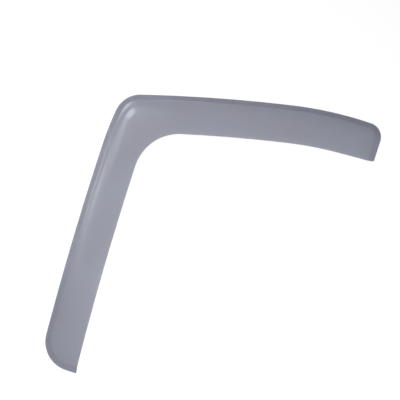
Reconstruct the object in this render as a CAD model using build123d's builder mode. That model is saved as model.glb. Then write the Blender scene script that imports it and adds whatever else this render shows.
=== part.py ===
from build123d import *
import os
from math import atan2, cos, degrees, hypot, radians, sin, tan

# Window rain deflector: one L-shaped shell, draped from a smoked acrylic sheet, for the side window of
# a truck door. It lies face up on its mounting rim, which is bonded round the window opening.
# The rim's underside is the plane z = 0, +X runs along the top leg, +Y points up the window and +Z
# points away from the door. Lengths are in millimetres and angles in degrees.

# Sheet and section. A drafted side wall rises from the rim to a rounded fold, and a shallow crown
# blends the fold into the flat face. The two end walls lean further back than the long side walls.
sheet = 3.0
wall_height = 16.0
side_run = 12.0
end_run = 16.0
crown_run = 18.0
crown_rise = 4.0
crown_radius = 120.0
fold_radius = 7.0

# Rim in plan, a chain of tangent arcs. From the corner, the front leg follows the pillar, past a short
# shoulder, down to the foot. The top leg follows the roof line, which drops in a tighter curve, the
# tail, to the rear end.
corner_radius = 60.0
corner_turn = 66.1
shoulder_radius = 667.0
shoulder_turn = 6.9
front_radius = 6940.0
front_length = 449.0
foot_radius = 67.0
foot_turn = 86.9
top_radius = 3600.0
top_length = 341.0
tail_radius = 873.0
tail_length = 183.0
end_radius = 32.5
end_turn = 89.0

# Free edge. It runs at one distance from the rim, with a softer inner corner, leaves the tail's curve
# for a straight run-out to the rear end, and is relieved by a slight upturn where the end wall meets it.
band_width = 86.7
inner_corner_radius = 103.0
run_out = 95.0
upturn_length = 27.0
upturn_radius = 60.0
upturn_angle = 10.5
edge_round = 1.0

# Slopes of the section and angles of the arcs, from the sizes above. The crown's round is limited by
# the slope that it shares with the fold, where a strip of the slope stays between the two.
side_slope = atan2(wall_height, side_run)
end_slope = atan2(wall_height, end_run)
crown_slope = atan2(crown_rise, crown_run)
least_slope = sheet / 2
fold_reach = fold_radius * tan((side_slope - crown_slope) / 2)
crown_room = hypot(crown_run, crown_rise) - fold_reach - least_slope
crown_round = min(crown_radius, crown_room / tan(crown_slope / 2))
crown_reach = crown_round * tan(crown_slope / 2)
total_height = wall_height + crown_rise
front_angle = degrees(front_length / front_radius)
top_angle = degrees(top_length / top_radius)
tail_angle = degrees(tail_length / tail_radius)

# How far the construction lines and cuts run on past the part.
spare = 2 * band_width


def trimmed(length, turn, side_inset, end_inset, rounding):
    """What is left of a side when it and its end wall move inwards and their corner's radius drops."""
    angle = radians(turn)
    return length - (end_inset - side_inset * cos(angle)) / sin(angle) + rounding * tan(angle / 2)


def outline(side_inset, end_inset, height):
    """Plan of the form at one height: the rim's arcs moved inwards, and a chord past the free edge."""
    front_arc = degrees(trimmed(front_length, foot_turn, side_inset, end_inset, side_inset) / front_radius)
    foot_arc = foot_turn + front_angle - front_arc
    end_corner = max(end_radius - side_inset, crown_reach + sheet)
    end_rounding = end_radius - end_corner
    tail_arc = degrees(trimmed(tail_length, end_turn, side_inset, end_inset, end_rounding) / tail_radius)
    end_arc = end_turn + tail_angle - tail_arc
    with BuildSketch(Plane.XY.offset(height)) as plan:
        with BuildLine():
            corner = JernArc((0, -side_inset), (-1, 0), corner_radius - side_inset, corner_turn)
            shoulder = JernArc(corner @ 1, corner % 1, shoulder_radius - side_inset, shoulder_turn)
            front = JernArc(shoulder @ 1, shoulder % 1, front_radius - side_inset, front_arc)
            foot = JernArc(front @ 1, front % 1, foot_radius - side_inset, foot_arc)
            foot_line = Line(foot @ 1, foot @ 1 + (foot % 1) * band_width)
            top = JernArc((0, -side_inset), (1, 0), top_radius - side_inset, -top_angle)
            tail = JernArc(top @ 1, top % 1, tail_radius - side_inset, -tail_arc)
            end = JernArc(tail @ 1, tail % 1, end_corner, -end_arc)
            end_line = Line(end @ 1, end @ 1 + (end % 1) * band_width)
            Line(foot_line @ 1, end_line @ 1)
        make_face()
    return plan.sketch


def wall_outline(depth, height):
    """Plan of the drafted walls at one height, a given depth below the outer skin."""
    side_inset = side_run * height / wall_height + depth / sin(side_slope)
    end_inset = end_run * height / wall_height + depth / sin(end_slope)
    return outline(side_inset, end_inset, height)


def skirt_edges(edges):
    """Edges round the rim side of a level, without the chord that closes it past the free edge."""
    return edges.sort_by(SortBy.LENGTH) - [edges.filter_by(GeomType.LINE).sort_by(SortBy.LENGTH)[-1]]


def solid_form(depth, base):
    """Solid under the skin that lies a given depth below the outer one, from the base height upwards."""
    fold_drop = depth * cos((side_slope + crown_slope) / 2) / cos((side_slope - crown_slope) / 2)
    fold_height = wall_height - fold_drop
    crown_inset = crown_run + depth * tan(crown_slope / 2)
    base_plan = wall_outline(depth, base)
    fold_plan = wall_outline(depth, fold_height)
    crown_plan = outline(side_run + crown_inset, end_run + crown_inset, total_height - depth)
    with BuildPart() as form:
        loft([base_plan, fold_plan], ruled=True)
        loft([fold_plan, crown_plan], ruled=True)
        fillet(skirt_edges(form.faces().sort_by(Axis.Z)[-1].edges()), crown_round - depth)
        fold_level = form.edges().filter_by_position(Axis.Z, fold_height, fold_height)
        fillet(skirt_edges(fold_level), fold_radius - depth)
    return form.part


# Everything inside the free edge: the side of the front leg and the side of the top leg, crossed.
with BuildSketch() as window:
    with BuildLine():
        corner = JernArc((0, 0), (-1, 0), corner_radius, corner_turn, mode=Mode.PRIVATE)
        shoulder = JernArc(corner @ 1, corner % 1, shoulder_radius, shoulder_turn, mode=Mode.PRIVATE)
        front = JernArc(shoulder @ 1, shoulder % 1, front_radius, front_angle, mode=Mode.PRIVATE)
        lead_spare = degrees(spare / front_radius)
        lead_start = 90 + corner_turn + shoulder_turn - lead_spare
        lead_angle = front_angle + 2 * lead_spare
        lead = CenterArc(front.arc_center, front_radius - band_width, lead_start, lead_angle)
        far = top_length + tail_length + spare
        Polyline(lead @ 1, (far, (lead @ 1).Y), (far, (lead @ 0).Y), lead @ 0)
    make_face()
    with BuildLine():
        top = JernArc((0, 0), (1, 0), top_radius, -top_angle, mode=Mode.PRIVATE)
        tail = JernArc(top @ 1, top % 1, tail_radius, -tail_angle, mode=Mode.PRIVATE)
        eave_spare = degrees(spare / top_radius)
        eave_angle = top_angle + eave_spare
        eave = CenterArc(top.arc_center, top_radius - band_width, 90 + eave_spare, -eave_angle)
        drop_angle = degrees((tail_length + end_radius - run_out) / tail_radius)
        drop = CenterArc(tail.arc_center, tail_radius - band_width, 90 - top_angle, -drop_angle)
        straight = Line(drop @ 1, drop @ 1 + (drop % 1) * (run_out - upturn_length))
        upturn = JernArc(straight @ 1, straight % 1, upturn_radius, upturn_angle)
        tip = Line(upturn @ 1, upturn @ 1 + (upturn % 1) * spare)
        low = -front_length - 2 * spare
        Polyline(tip @ 1, ((tip @ 1).X, low), ((eave @ 0).X, low), eave @ 0)
    make_face(mode=Mode.INTERSECT)
    fillet(window.vertices().sort_by_distance((0, 0))[0], inner_corner_radius)

# The shell: the outer form less the inner one, trimmed along the free edge, where both rims of the cut
# are rounded. The cut's faces are the only upright ones.
with BuildPart() as shell:
    add(solid_form(0, 0))
    add(solid_form(sheet, -sheet), mode=Mode.SUBTRACT)
    extrude(window.sketch, amount=spare, both=True, mode=Mode.SUBTRACT)
    cut_edges = shell.faces().filter_by(lambda face: abs(face.normal_at(face.center()).Z) < 0.01).edges()
    joins = cut_edges.filter_by(Axis.Z)
    feet = cut_edges.filter_by_position(Axis.Z, 0, 0)
    fillet(cut_edges - joins - feet, min(edge_round, sheet / 3))

# The origin is on the rim's plane, under the middle of the part.
middle = shell.part.bounding_box().center()
with BuildPart() as deflector:
    with Locations((-middle.X, -middle.Y)):
        add(shell.part)

os.makedirs("parts", exist_ok=True)
deflector.part.label = "deflector"
export_step(deflector.part, "parts/deflector.step")
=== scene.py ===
import bmesh
import bpy
import numpy as np
from math import atan2, cos, degrees, hypot, log, pi, radians, sin, tan
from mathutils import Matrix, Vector


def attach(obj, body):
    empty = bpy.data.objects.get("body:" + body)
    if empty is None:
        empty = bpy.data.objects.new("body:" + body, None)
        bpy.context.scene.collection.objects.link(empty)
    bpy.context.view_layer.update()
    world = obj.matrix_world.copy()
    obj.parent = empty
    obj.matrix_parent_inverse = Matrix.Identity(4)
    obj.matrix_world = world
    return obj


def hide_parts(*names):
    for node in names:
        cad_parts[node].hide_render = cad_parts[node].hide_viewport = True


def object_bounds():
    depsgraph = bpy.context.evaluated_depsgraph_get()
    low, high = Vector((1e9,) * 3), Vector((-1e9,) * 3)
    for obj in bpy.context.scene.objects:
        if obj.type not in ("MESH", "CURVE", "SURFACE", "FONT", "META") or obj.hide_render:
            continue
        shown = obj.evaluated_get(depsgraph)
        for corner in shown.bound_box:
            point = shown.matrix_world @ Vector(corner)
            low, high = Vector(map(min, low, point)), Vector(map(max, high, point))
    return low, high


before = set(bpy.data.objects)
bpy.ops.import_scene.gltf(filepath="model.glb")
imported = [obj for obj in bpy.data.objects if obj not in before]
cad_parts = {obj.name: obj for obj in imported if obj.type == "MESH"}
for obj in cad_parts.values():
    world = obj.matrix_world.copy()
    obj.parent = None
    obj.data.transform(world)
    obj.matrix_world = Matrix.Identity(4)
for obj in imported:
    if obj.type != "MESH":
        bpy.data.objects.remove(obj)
cad_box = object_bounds()

# The view, in metres and degrees: straight down on the rim's plane, a little off the part's middle.
view_width = 0.900
camera_height = 2.200
camera_x = -0.0317
camera_y = 0.0812
camera_turn = 1.35
sensor_width = 36.0

# Sizes of the shell, in metres and degrees, as in the solid that it stands for.
sheet = 0.003
wall_height = 0.016
side_run = 0.012
end_run = 0.016
crown_run = 0.018
crown_rise = 0.004
crown_radius = 0.120
fold_radius = 0.007
corner_radius = 0.060
corner_turn = 66.1
shoulder_radius = 0.667
shoulder_turn = 6.9
front_radius = 6.940
front_length = 0.449
foot_radius = 0.067
foot_turn = 86.9
top_radius = 3.600
top_length = 0.341
tail_radius = 0.873
tail_length = 0.183
end_radius = 0.0325
end_turn = 89.0
band_width = 0.0867
inner_corner_radius = 0.103
run_out = 0.095
upturn_length = 0.027
upturn_radius = 0.060
upturn_angle = 10.5
edge_round = 0.001

# Slopes of the section and turns of the arcs, from the sizes above.
side_slope = atan2(wall_height, side_run)
end_slope = atan2(wall_height, end_run)
crown_slope = atan2(crown_rise, crown_run)
crown_reach = crown_radius * tan(crown_slope / 2)
total_height = wall_height + crown_rise
front_angle = degrees(front_length / front_radius)
top_angle = degrees(top_length / top_radius)
tail_angle = degrees(tail_length / tail_radius)

# How finely each stretch of the rim, the section and the free edge is divided.
corner_steps = 48
shoulder_steps = 16
front_steps = 60
foot_steps = 48
top_steps = 48
tail_steps = 40
end_steps = 48
line_steps = 8
fold_steps = 10
crown_steps = 16
round_steps = 4
edge_step = 0.002
sharp_angle = 35

# How far a noise pattern swings about its middle, for the patterns in the material.
noise_low = 0.35
noise_high = 0.65

# Smoked acrylic: what a sheet of this thickness lets through of red, green and blue, a little spare that
# keeps its absorption's colour off black, how much of its light goes straight through, and the colours
# between which its haze clouds.
sheet_passes = (0.90, 0.90, 0.92)
density_spare = 1.05
acrylic_ior = 1.49
clear_share = 0.5
thin_haze = (0.446, 0.443, 0.498, 1.0)
thick_haze = (0.456, 0.480, 0.531, 1.0)
cloud_scale = 7.0
cloud_detail = 3.0

# Its gloss, which handling has smeared a little, and the satin of the cut free edge.
best_gloss = 0.020
worst_gloss = 0.045
smear_scale = 38.0
smear_detail = 5.0
cut_haze = (0.20, 0.20, 0.25, 1.0)
cut_roughness = 0.35

# Its relief, as the scale, detail and depth of each: slow waves from the drape, the skin's fine peel, and
# the upright marks of the tool along the cut edge.
wave_scale = 13.0
wave_detail = 1.0
wave_depth = 0.0003
peel_scale = 700.0
peel_detail = 2.0
peel_depth = 0.000004
mark_scale = 650.0
mark_detail = 3.0
mark_stretch = (1.0, 1.0, 0.04)
mark_depth = 0.00004

# Floor: to the eye, a white glow over a little lit paper. In gloss and through the sheet, lit paper with a
# cool sheen, which shows the part's shadow there.
floor_colour = (0.7, 0.7, 0.7, 1.0)
seen_glow = (0.86, 0.86, 0.86, 1.0)
seen_shade = 0.25
shiny_glow = (0.12, 0.15, 0.30, 1.0)
shiny_shade = 0.90
floor_side = 60.0
floor_gap = 0.0002

# Room: even light from all round.
room_level = 0.080

# Lamps: the spots that they are aimed at, the share of the key's width at its end over the part, the angles
# of the narrow beams, how far the line lamps stand off, and the ceiling's height and the side of its panels.
part_spot = (-0.1, 0.1, 0.0)
corner_spot = (-0.190, 0.270, 0.02)
leg_spot = (-0.28, 0.09, 0.0)
line_spot = (-0.264, 0.14, 0.0)
top_spot = (-0.07, 0.30, 0.0)
window_spot = (-0.33, -0.48, 0.0)
key_near_share = 0.24
left_beam = 80
line_beam = 30
line_reach = 1.6
ceiling_height = 2.4
ceiling_side = 0.9


def heading_vector(heading):
    return np.array((cos(heading), sin(heading)))


def arc(start, heading, radius, turn, steps):
    """Points along an arc that leaves start along heading, and the heading at each. Left turns are positive."""
    side = np.sign(turn)
    headings = heading + np.linspace(0, turn, steps + 1)
    centre = start + side * radius * heading_vector(heading + pi / 2)
    return centre + side * radius * np.c_[np.sin(headings), -np.cos(headings)], headings


def chain(start, heading, arcs):
    """Points along arcs that follow each other, each given as (radius, turn, steps), and the last heading."""
    points = np.array([start])
    for radius, turn, steps in arcs:
        stretch, headings = arc(points[-1], heading, radius, radians(turn), steps)
        points = np.vstack([points, stretch[1:]])
        heading = headings[-1]
    return points, heading


def trimmed(length, turn, side_inset, end_inset, rounding):
    """What is left of a side when it and its end wall move inwards and their corner's radius drops."""
    angle = radians(turn)
    return length - (end_inset - side_inset * cos(angle)) / sin(angle) + rounding * tan(angle / 2)


def rim_row(side_inset, end_inset):
    """The rim's two chains of arcs at one inset, from the top of the corner to the foot and to the rear end."""
    front = degrees(trimmed(front_length, foot_turn, side_inset, end_inset, side_inset) / front_radius)
    end_corner = max(end_radius - side_inset, crown_reach + sheet)
    end_rounding = end_radius - end_corner
    tail = degrees(trimmed(tail_length, end_turn, side_inset, end_inset, end_rounding) / tail_radius)
    to_foot = (
        (corner_radius - side_inset, corner_turn, corner_steps),
        (shoulder_radius - side_inset, shoulder_turn, shoulder_steps),
        (front_radius - side_inset, front, front_steps),
        (foot_radius - side_inset, foot_turn + front_angle - front, foot_steps),
    )
    to_end = (
        (top_radius - side_inset, -top_angle, top_steps),
        (tail_radius - side_inset, -tail, tail_steps),
        (end_corner, -(end_turn + tail_angle - tail), end_steps),
    )
    start = (0.0, -side_inset)
    return chain(start, pi, to_foot), chain(start, 0.0, to_end)


def round_about(centre, radius, first, last):
    """Points round a centre, from one angle to another, about an edge step apart."""
    steps = int(np.ceil(radius * abs(last - first) / edge_step))
    angles = np.linspace(first, last, steps + 1)
    return centre + radius * np.c_[np.cos(angles), np.sin(angles)]


def free_edge():
    """The free edge in plan, from past the foot, up the front leg and along the top leg, to past the rear end."""
    shoulder, heading = chain((0.0, 0.0), pi, ((corner_radius, corner_turn, 1), (shoulder_radius, shoulder_turn, 1)))
    lead_centre = shoulder[-1] + front_radius * heading_vector(heading + pi / 2)
    lead_radius = front_radius - band_width
    lead_first = heading - pi / 2 + radians(front_angle) + 2 * foot_radius / front_radius
    eave_centre = np.array((0.0, -top_radius))
    eave_radius = top_radius - band_width
    eave_last = pi / 2 - radians(top_angle)
    drop_centre = eave_centre + (top_radius - tail_radius) * heading_vector(eave_last)
    drop_last = eave_last - (tail_length + end_radius - run_out) / tail_radius

    # The inner corner's round touches both legs' edges.
    lead_away = lead_radius - inner_corner_radius
    eave_away = eave_radius - inner_corner_radius
    apart = hypot(*(eave_centre - lead_centre))
    ahead = (eave_centre - lead_centre) / apart
    along = (apart**2 + lead_away**2 - eave_away**2) / (2 * apart)
    aside = (lead_away**2 - along**2) ** 0.5
    corner = lead_centre + along * ahead + aside * np.array((ahead[1], -ahead[0]))
    lead_last = atan2(*(corner - lead_centre)[::-1])
    eave_first = atan2(*(corner - eave_centre)[::-1])

    lead = round_about(lead_centre, lead_radius, lead_first, lead_last)
    inner = round_about(corner, inner_corner_radius, lead_last, eave_first)
    eave = round_about(eave_centre, eave_radius, eave_first, eave_last)
    drop = round_about(drop_centre, tail_radius - band_width, eave_last, drop_last)
    straight = drop[-1] + (run_out - upturn_length) * heading_vector(drop_last - pi / 2)
    upturn, headings = arc(straight, drop_last - pi / 2, upturn_radius, radians(upturn_angle), fold_steps)
    tip = upturn[-1] + band_width * heading_vector(headings[-1])
    path = np.vstack([lead, inner[1:], eave[1:], drop[1:], upturn, tip])
    length = np.r_[0, np.cumsum(np.hypot(*np.diff(path, axis=0).T))]
    even = np.linspace(0, length[-1], int(length[-1] / edge_step))
    return np.c_[np.interp(even, length, path[:, 0]), np.interp(even, length, path[:, 1])]


def crossing(start, heading, path):
    """Where a straight run from start along heading first meets the path, and the path's point before that."""
    ahead = heading_vector(heading)
    forward = (path - start) @ ahead
    across = (path - start) @ heading_vector(heading + pi / 2)
    hits = np.nonzero((across[:-1] * across[1:] <= 0) & (forward[:-1] > 0))[0]
    before = hits[np.argmin(forward[hits])]
    share = across[before] / (across[before] - across[before + 1])
    return path[before] + share * (path[before + 1] - path[before]), before


def section(run, slope, depth):
    """A skin's section, from the rim to the flat face: each row's inset and height, and its slope."""
    fold_drop = depth * cos((side_slope + crown_slope) / 2) / cos((side_slope - crown_slope) / 2)
    foot = np.array((depth / sin(slope), 0.0))
    fold = foot + (wall_height - fold_drop) * np.array((run / wall_height, 1.0))
    crown = np.array((run + crown_run + depth * tan(crown_slope / 2), total_height - depth))
    lean = atan2(*(crown - fold)[::-1])
    fold_start = fold - (fold_radius - depth) * tan((slope - lean) / 2) * heading_vector(slope)
    crown_start = crown - (crown_radius - depth) * tan(lean / 2) * heading_vector(lean)
    fold_arc, fold_slopes = arc(fold_start, slope, fold_radius - depth, lean - slope, fold_steps)
    crown_arc, crown_slopes = arc(crown_start, lean, crown_radius - depth, -lean, crown_steps)
    return np.vstack([foot, fold_arc, crown_arc]), np.r_[slope, fold_slopes, crown_slopes]


def skin(depth, path):
    """One skin of the shell: its rows of points, and where the free edge cuts each row at the foot and the rear."""
    side, _ = section(side_run, side_slope, depth)
    end, slopes = section(end_run, end_slope, depth)
    on_foot = np.linspace(0, 1, foot_steps + 1)[1:]
    on_end = np.linspace(0, 1, end_steps + 1)[1:]
    on_line = np.ones(line_steps)
    front_share = np.r_[np.zeros(corner_steps + shoulder_steps + front_steps), on_foot, on_line]
    top_share = np.r_[np.zeros(top_steps + tail_steps), on_end, on_line]
    share = np.r_[front_share[::-1], 0, top_share]
    line = np.linspace(0, 1, line_steps + 1)[1:, None]
    rows = []
    cuts = ([], [])
    for (side_inset, side_high), (end_inset, end_high), slope in zip(side, end, slopes):
        halves = []
        for half, (points, heading) in enumerate(rim_row(side_inset, end_inset)):
            cut, before = crossing(points[-1], heading, path)
            ahead = heading_vector(heading)
            out = heading_vector(heading + (-pi / 2, pi / 2)[half])
            last = cut - edge_round * ahead
            halves.append(np.vstack([points, points[-1] + line * (last - points[-1])]))
            normal = np.r_[out * sin(slope), cos(slope)]
            cuts[half].append((np.r_[cut, end_high], np.r_[ahead, 0.0], normal, before))
        plan = np.vstack([halves[0][::-1], halves[1][1:]])
        rows.append(np.c_[plan, side_high + share * (end_high - side_high)])
    return rows, cuts


def rounded_rail(rail, inward):
    """Rings of points round the cut's rim, where each stop of the rail has its place, way out and normal."""
    rings = []
    for angle in np.linspace(0, pi / 2, round_steps + 1):
        ring = []
        for cut, across, normal, _ in rail:
            ring.append(cut + edge_round * ((sin(angle) - 1) * across + inward * (1 - cos(angle)) * normal))
        for stop in (0, -1):
            normal = rail[stop][2]
            rise = np.r_[-normal[:2] * normal[2] / hypot(*normal[:2]) ** 2, 1.0]
            ring[stop] = ring[stop] - rise * ring[stop][2]
        rings.append(ring)
    return rings


def strip(mesh, first, second, cut=0.0):
    """Faces between two rows of as many points, marked with how much they belong to the cut edge."""
    mark = mesh.faces.layers.float["cut_edge"]
    for corners in zip(first, first[1:], second[1:], second):
        mesh.faces.new(corners)[mark] = cut


def shell_mesh():
    """The shell: an outer and an inner skin, the rim's underside, and the rounded cut along the free edge."""
    path = free_edge()
    skins = [skin(depth, path) for depth in (0.0, sheet)]
    foot_cuts = [cut[3] for _, cuts in skins for cut in cuts[0]]
    rear_cuts = [cut[3] for _, cuts in skins for cut in cuts[1]]
    flat = np.arange(max(foot_cuts) + 2, min(rear_cuts))
    way = np.gradient(path, axis=0)[flat]
    way /= np.hypot(*way.T)[:, None]
    mesh = bmesh.new()
    mesh.faces.layers.float.new("cut_edge")
    rims = []
    cut_rings = []
    for (rows, cuts), depth, inward in zip(skins, (0.0, sheet), (-1, 1)):
        places = np.c_[path[flat], np.full(len(flat), total_height - depth)]
        out = np.c_[way[:, 1], -way[:, 0], np.zeros(len(flat))]
        stops = [(place, across, np.array((0.0, 0.0, 1.0)), None) for place, across in zip(places, out)]
        rings = rounded_rail(cuts[0] + stops + cuts[1][::-1], inward)
        rows = [[mesh.verts.new(point) for point in row] for row in rows]
        for row, after in zip(rows, rows[1:]):
            strip(mesh, row, after)
        flat_edge = [mesh.verts.new(point) for point in rings[0][len(rows) : -len(rows)]]
        mesh.faces.new(rows[-1] + flat_edge[::-1])
        rings = [[mesh.verts.new(point) for point in ring] for ring in rings[1:]]
        rings.insert(0, [row[0] for row in rows] + flat_edge + [row[-1] for row in rows[::-1]])
        for ring, after in zip(rings, rings[1:]):
            strip(mesh, ring, after, cut=1.0)
        rims.append(rows[0])
        cut_rings.append(rings)
    strip(mesh, cut_rings[0][-1], cut_rings[1][-1], cut=1.0)
    strip(mesh, rims[0], rims[1])
    for stop in (0, -1):
        mesh.faces.new([ring[stop] for ring in cut_rings[0] + cut_rings[1][::-1]])
    bmesh.ops.recalc_face_normals(mesh, faces=mesh.faces)
    return mesh


def add_shell(material):
    mesh = shell_mesh()
    data = bpy.data.meshes.new("deflector_shell")
    mesh.to_mesh(data)
    mesh.free()
    low = np.min([point.co for point in data.vertices], axis=0)
    high = np.max([point.co for point in data.vertices], axis=0)
    middle = (Vector(cad_box[0]) + Vector(cad_box[1])) / 2
    shift = middle - Vector((low + high) / 2)
    for point in data.vertices:
        point.co += shift
    data.shade_smooth()
    data.set_sharp_from_angle(angle=radians(sharp_angle))
    data.materials.append(material)
    shell = bpy.data.objects.new("deflector_shell", data)
    bpy.context.scene.collection.objects.link(shell)
    weigh = shell.modifiers.new("even_shading", "WEIGHTED_NORMAL")
    weigh.keep_sharp = True
    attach(shell, "root")
    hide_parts("deflector")


def feed(tree, socket, value):
    """Sets a socket to a value, or links it to another socket."""
    if isinstance(value, bpy.types.NodeSocket):
        tree.links.new(value, socket)
    else:
        socket.default_value = value


def node(tree, kind, **inputs):
    """A shader node of this kind, with its named inputs set or linked."""
    made = tree.nodes.new(kind)
    for name, value in inputs.items():
        feed(tree, made.inputs[name.replace("_", " ")], value)
    return made


def math(tree, operation, first, second=0.0):
    """The result of a sum, a product or a test of two values."""
    made = tree.nodes.new("ShaderNodeMath")
    made.operation = operation
    feed(tree, made.inputs[0], first)
    feed(tree, made.inputs[1], second)
    return made.outputs[0]


def noise(tree, place, scale, detail):
    return node(tree, "ShaderNodeTexNoise", Vector=place, Scale=scale, Detail=detail).outputs["Fac"]


def new_material(name):
    material = bpy.data.materials.new(name)
    material.use_nodes = True
    material.node_tree.nodes.clear()
    return material


def relief(tree, place, cut):
    """The skin's normal: slow waves, then the fine peel, then the tool's marks on the cut edge."""
    waves = noise(tree, place, wave_scale, wave_detail)
    peel = noise(tree, place, peel_scale, peel_detail)
    upright = node(tree, "ShaderNodeVectorMath")
    upright.operation = "MULTIPLY"
    upright.inputs[1].default_value = mark_stretch
    tree.links.new(place, upright.inputs[0])
    marks = math(tree, "MULTIPLY", noise(tree, upright.outputs[0], mark_scale, mark_detail), cut)
    bump = node(tree, "ShaderNodeBump", Height=waves, Distance=wave_depth)
    bump = node(tree, "ShaderNodeBump", Height=peel, Distance=peel_depth, Normal=bump.outputs[0])
    return node(tree, "ShaderNodeBump", Height=marks, Distance=mark_depth, Normal=bump.outputs[0]).outputs[0]


def smoked_acrylic():
    """Gloss plastic, part clear and part hazy, that a smoke-grey absorption darkens with depth."""
    material = new_material("smoked_acrylic")
    tree = material.node_tree
    out = tree.nodes.new("ShaderNodeOutputMaterial")
    place = tree.nodes.new("ShaderNodeTexCoord").outputs["Object"]
    mark = tree.nodes.new("ShaderNodeAttribute")
    mark.attribute_name = "cut_edge"
    cut = mark.outputs["Fac"]

    cloud = tree.nodes.new("ShaderNodeValToRGB")
    tree.links.new(noise(tree, place, cloud_scale, cloud_detail), cloud.inputs["Fac"])
    thin, thick = cloud.color_ramp.elements
    thin.position, thin.color = noise_low, thin_haze
    thick.position, thick.color = noise_high, thick_haze
    haze = node(tree, "ShaderNodeMixRGB", Fac=cut, Color1=cloud.outputs["Color"], Color2=cut_haze)

    smear = node(
        tree,
        "ShaderNodeMapRange",
        Value=noise(tree, place, smear_scale, smear_detail),
        From_Min=noise_low,
        From_Max=noise_high,
        To_Min=best_gloss,
        To_Max=worst_gloss,
    )
    dull = math(tree, "ADD", smear.outputs["Result"], math(tree, "MULTIPLY", cut, cut_roughness))

    plastic = node(
        tree,
        "ShaderNodeBsdfPrincipled",
        Base_Color=haze.outputs["Color"],
        Roughness=dull,
        IOR=acrylic_ior,
        Transmission_Weight=clear_share,
        Normal=relief(tree, place, cut),
    )
    taken = [-log(share) / sheet for share in sheet_passes]
    density = density_spare * max(taken)
    tint = [1 - each / density for each in taken]
    smoke = node(tree, "ShaderNodeVolumeAbsorption", Color=(*tint, 1.0), Density=density)
    tree.links.new(plastic.outputs["BSDF"], out.inputs["Surface"])
    tree.links.new(smoke.outputs["Volume"], out.inputs["Volume"])
    return material


def lit_and_glowing(tree, shade, glow):
    """Paper that takes part of the light, and has a glow of its own whatever falls on it."""
    shaded = [shade * each for each in floor_colour[:3]]
    lit = node(tree, "ShaderNodeBsdfDiffuse", Color=(*shaded, 1.0))
    glowing = node(tree, "ShaderNodeEmission", Color=glow)
    both = tree.nodes.new("ShaderNodeAddShader")
    tree.links.new(lit.outputs[0], both.inputs[0])
    tree.links.new(glowing.outputs[0], both.inputs[1])
    return both


def mixed(tree, share, first, second):
    mix = tree.nodes.new("ShaderNodeMixShader")
    tree.links.new(share, mix.inputs[0])
    tree.links.new(first.outputs[0], mix.inputs[1])
    tree.links.new(second.outputs[0], mix.inputs[2])
    return mix


def floor_material():
    """White paper to the eye. In gloss and through the sheet it is cool, lit paper, with the part's shadow."""
    material = new_material("floor")
    tree = material.node_tree
    out = tree.nodes.new("ShaderNodeOutputMaterial")
    path = tree.nodes.new("ShaderNodeLightPath")
    shiny = math(tree, "MAXIMUM", path.outputs["Is Glossy Ray"], path.outputs["Is Transmission Ray"])
    paper = node(tree, "ShaderNodeBsdfDiffuse", Color=floor_colour)
    mirrored = lit_and_glowing(tree, shiny_shade, shiny_glow)
    white = lit_and_glowing(tree, seen_shade, seen_glow)
    unseen = mixed(tree, shiny, paper, mirrored)
    whole = mixed(tree, path.outputs["Is Camera Ray"], unseen, white)
    tree.links.new(whole.outputs[0], out.inputs["Surface"])
    return material


def add_floor():
    bpy.ops.mesh.primitive_plane_add(size=floor_side, location=(0, 0, cad_box[0].z - floor_gap))
    floor = bpy.context.object
    floor.name = "floor"
    floor.data.materials.append(floor_material())


def add_world():
    world = bpy.data.worlds.new("studio")
    world.use_nodes = True
    background = world.node_tree.nodes["Background"]
    background.inputs["Color"].default_value = (1.0, 1.0, 1.0, 1.0)
    background.inputs["Strength"].default_value = room_level
    bpy.context.scene.world = world


def face_of(lamp):
    """The lamp's nodes, and how far across and along its face a point lies, from 0 to 1."""
    lamp.use_nodes = True
    tree = lamp.node_tree
    face = tree.nodes.new("ShaderNodeNewGeometry").outputs["Parametric"]
    parts = node(tree, "ShaderNodeSeparateXYZ", Vector=face)
    return tree, parts.outputs["X"], parts.outputs["Y"]


def soften(lamp):
    """Lets the lamp's face fade from full brightness in its middle to none at its edges."""
    tree, across, along = face_of(lamp)
    middle = 0.5
    fade = 1.0
    for way in (across, along):
        hump = math(tree, "MULTIPLY", way, math(tree, "SUBTRACT", 1.0, way))
        fade = math(tree, "MULTIPLY", math(tree, "DIVIDE", hump, middle**2), fade)
    tree.links.new(fade, tree.nodes["Emission"].inputs["Strength"])


def taper(lamp):
    """Masks the lamp's face to a wedge that is narrow at its end over the part."""
    tree, across, along = face_of(lamp)
    middle = 0.5
    aside = math(tree, "ABSOLUTE", math(tree, "SUBTRACT", across, middle))
    reach = math(tree, "SUBTRACT", middle, math(tree, "MULTIPLY", along, middle * (1 - key_near_share)))
    tree.links.new(math(tree, "LESS_THAN", aside, reach), tree.nodes["Emission"].inputs["Strength"])


def fade_inwards(lamp):
    """Lets the lamp's face fade from its outer edge to its end over the part."""
    tree, _, along = face_of(lamp)
    tree.links.new(math(tree, "SUBTRACT", 1.0, along), tree.nodes["Emission"].inputs["Strength"])


def add_lamp(name, place, aim, size, level, shape=None, beam=None):
    """A soft box whose face has the given brightness, where the floor's white is 1. A beam, which is an
    angle, keeps its light near its aim, and takes less power for the same brightness."""
    lamp = bpy.data.lights.new(name, "AREA")
    lamp.shape = "RECTANGLE"
    lamp.size, lamp.size_y = size
    lamp.energy = level * size[0] * size[1] * pi
    if beam:
        half = radians(beam) / 2
        lamp.spread = 2 * half
        lamp.energy *= 1 - half / tan(half)
    if shape:
        shape(lamp)
    panel = bpy.data.objects.new(name, lamp)
    panel.location = place
    panel.rotation_euler = (Vector(aim) - Vector(place)).to_track_quat("-Z", "Y").to_euler()
    panel.visible_camera = False
    bpy.context.scene.collection.objects.link(panel)


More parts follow.
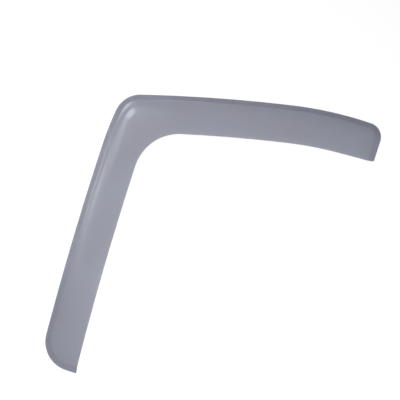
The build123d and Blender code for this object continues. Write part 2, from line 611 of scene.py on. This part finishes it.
def add_line(name, aim, heading, tilt, size, level):
    """A strip lamp that stands off its aim along a heading, tilted from upright, and draws a line on a fold."""
    away = Vector((*(sin(radians(tilt)) * heading_vector(radians(heading))), cos(radians(tilt))))
    add_lamp(name, Vector(aim) + line_reach * away, aim, size, level, soften, line_beam)


def add_ceiling(name, x, y, level):
    """A square panel under the ceiling that faces straight down."""
    add_lamp(name, (x, y, ceiling_height), (x, y, 0.0), (ceiling_side, ceiling_side), level, soften)


def add_camera():
    lens = bpy.data.cameras.new("camera")
    lens.sensor_width = sensor_width
    lens.lens = sensor_width * camera_height / view_width
    camera = bpy.data.objects.new("camera", lens)
    camera.location = (camera_x, camera_y, camera_height)
    camera.rotation_euler = (0, 0, radians(camera_turn))
    bpy.context.scene.collection.objects.link(camera)
    bpy.context.scene.camera = camera


add_shell(smoked_acrylic())
add_floor()
add_world()
add_lamp("key", (-0.476, 0.554, 1.5), corner_spot, size=(0.30, 0.32), level=4.24, shape=taper)
add_lamp("line", (-0.90, 0.92, 1.5), corner_spot, size=(0.80, 0.14), level=4.33)
add_lamp("window", (-1.03, 0.233, 2.4), window_spot, size=(0.90, 0.90), level=1.75, shape=fade_inwards)
add_lamp("left", (-0.80, 0.30, 0.50), leg_spot, size=(0.40, 0.40), level=7.00, shape=soften, beam=left_beam)
add_lamp("rear_left", (-0.50, 0.65, 0.60), corner_spot, size=(0.35, 0.35), level=4.60, shape=soften)
add_lamp("fill", (0.10, -0.30, 1.00), part_spot, size=(0.80, 0.80), level=13.8, shape=soften)
add_line("top_line", top_spot, heading=91, tilt=46, size=(0.56, 0.18), level=27.0)
add_line("leg_line", leg_spot, heading=168, tilt=56, size=(0.38, 0.13), level=40.0)
add_line("leg_second_line", line_spot, heading=168, tilt=25.2, size=(0.30, 0.030), level=15.0)
add_ceiling("ceiling_top", -0.60, 0.75, level=2.35)
add_ceiling("ceiling_rear", -0.60, 1.20, level=1.17)
add_camera()
bpy.context.scene.view_settings.view_transform = "Standard"
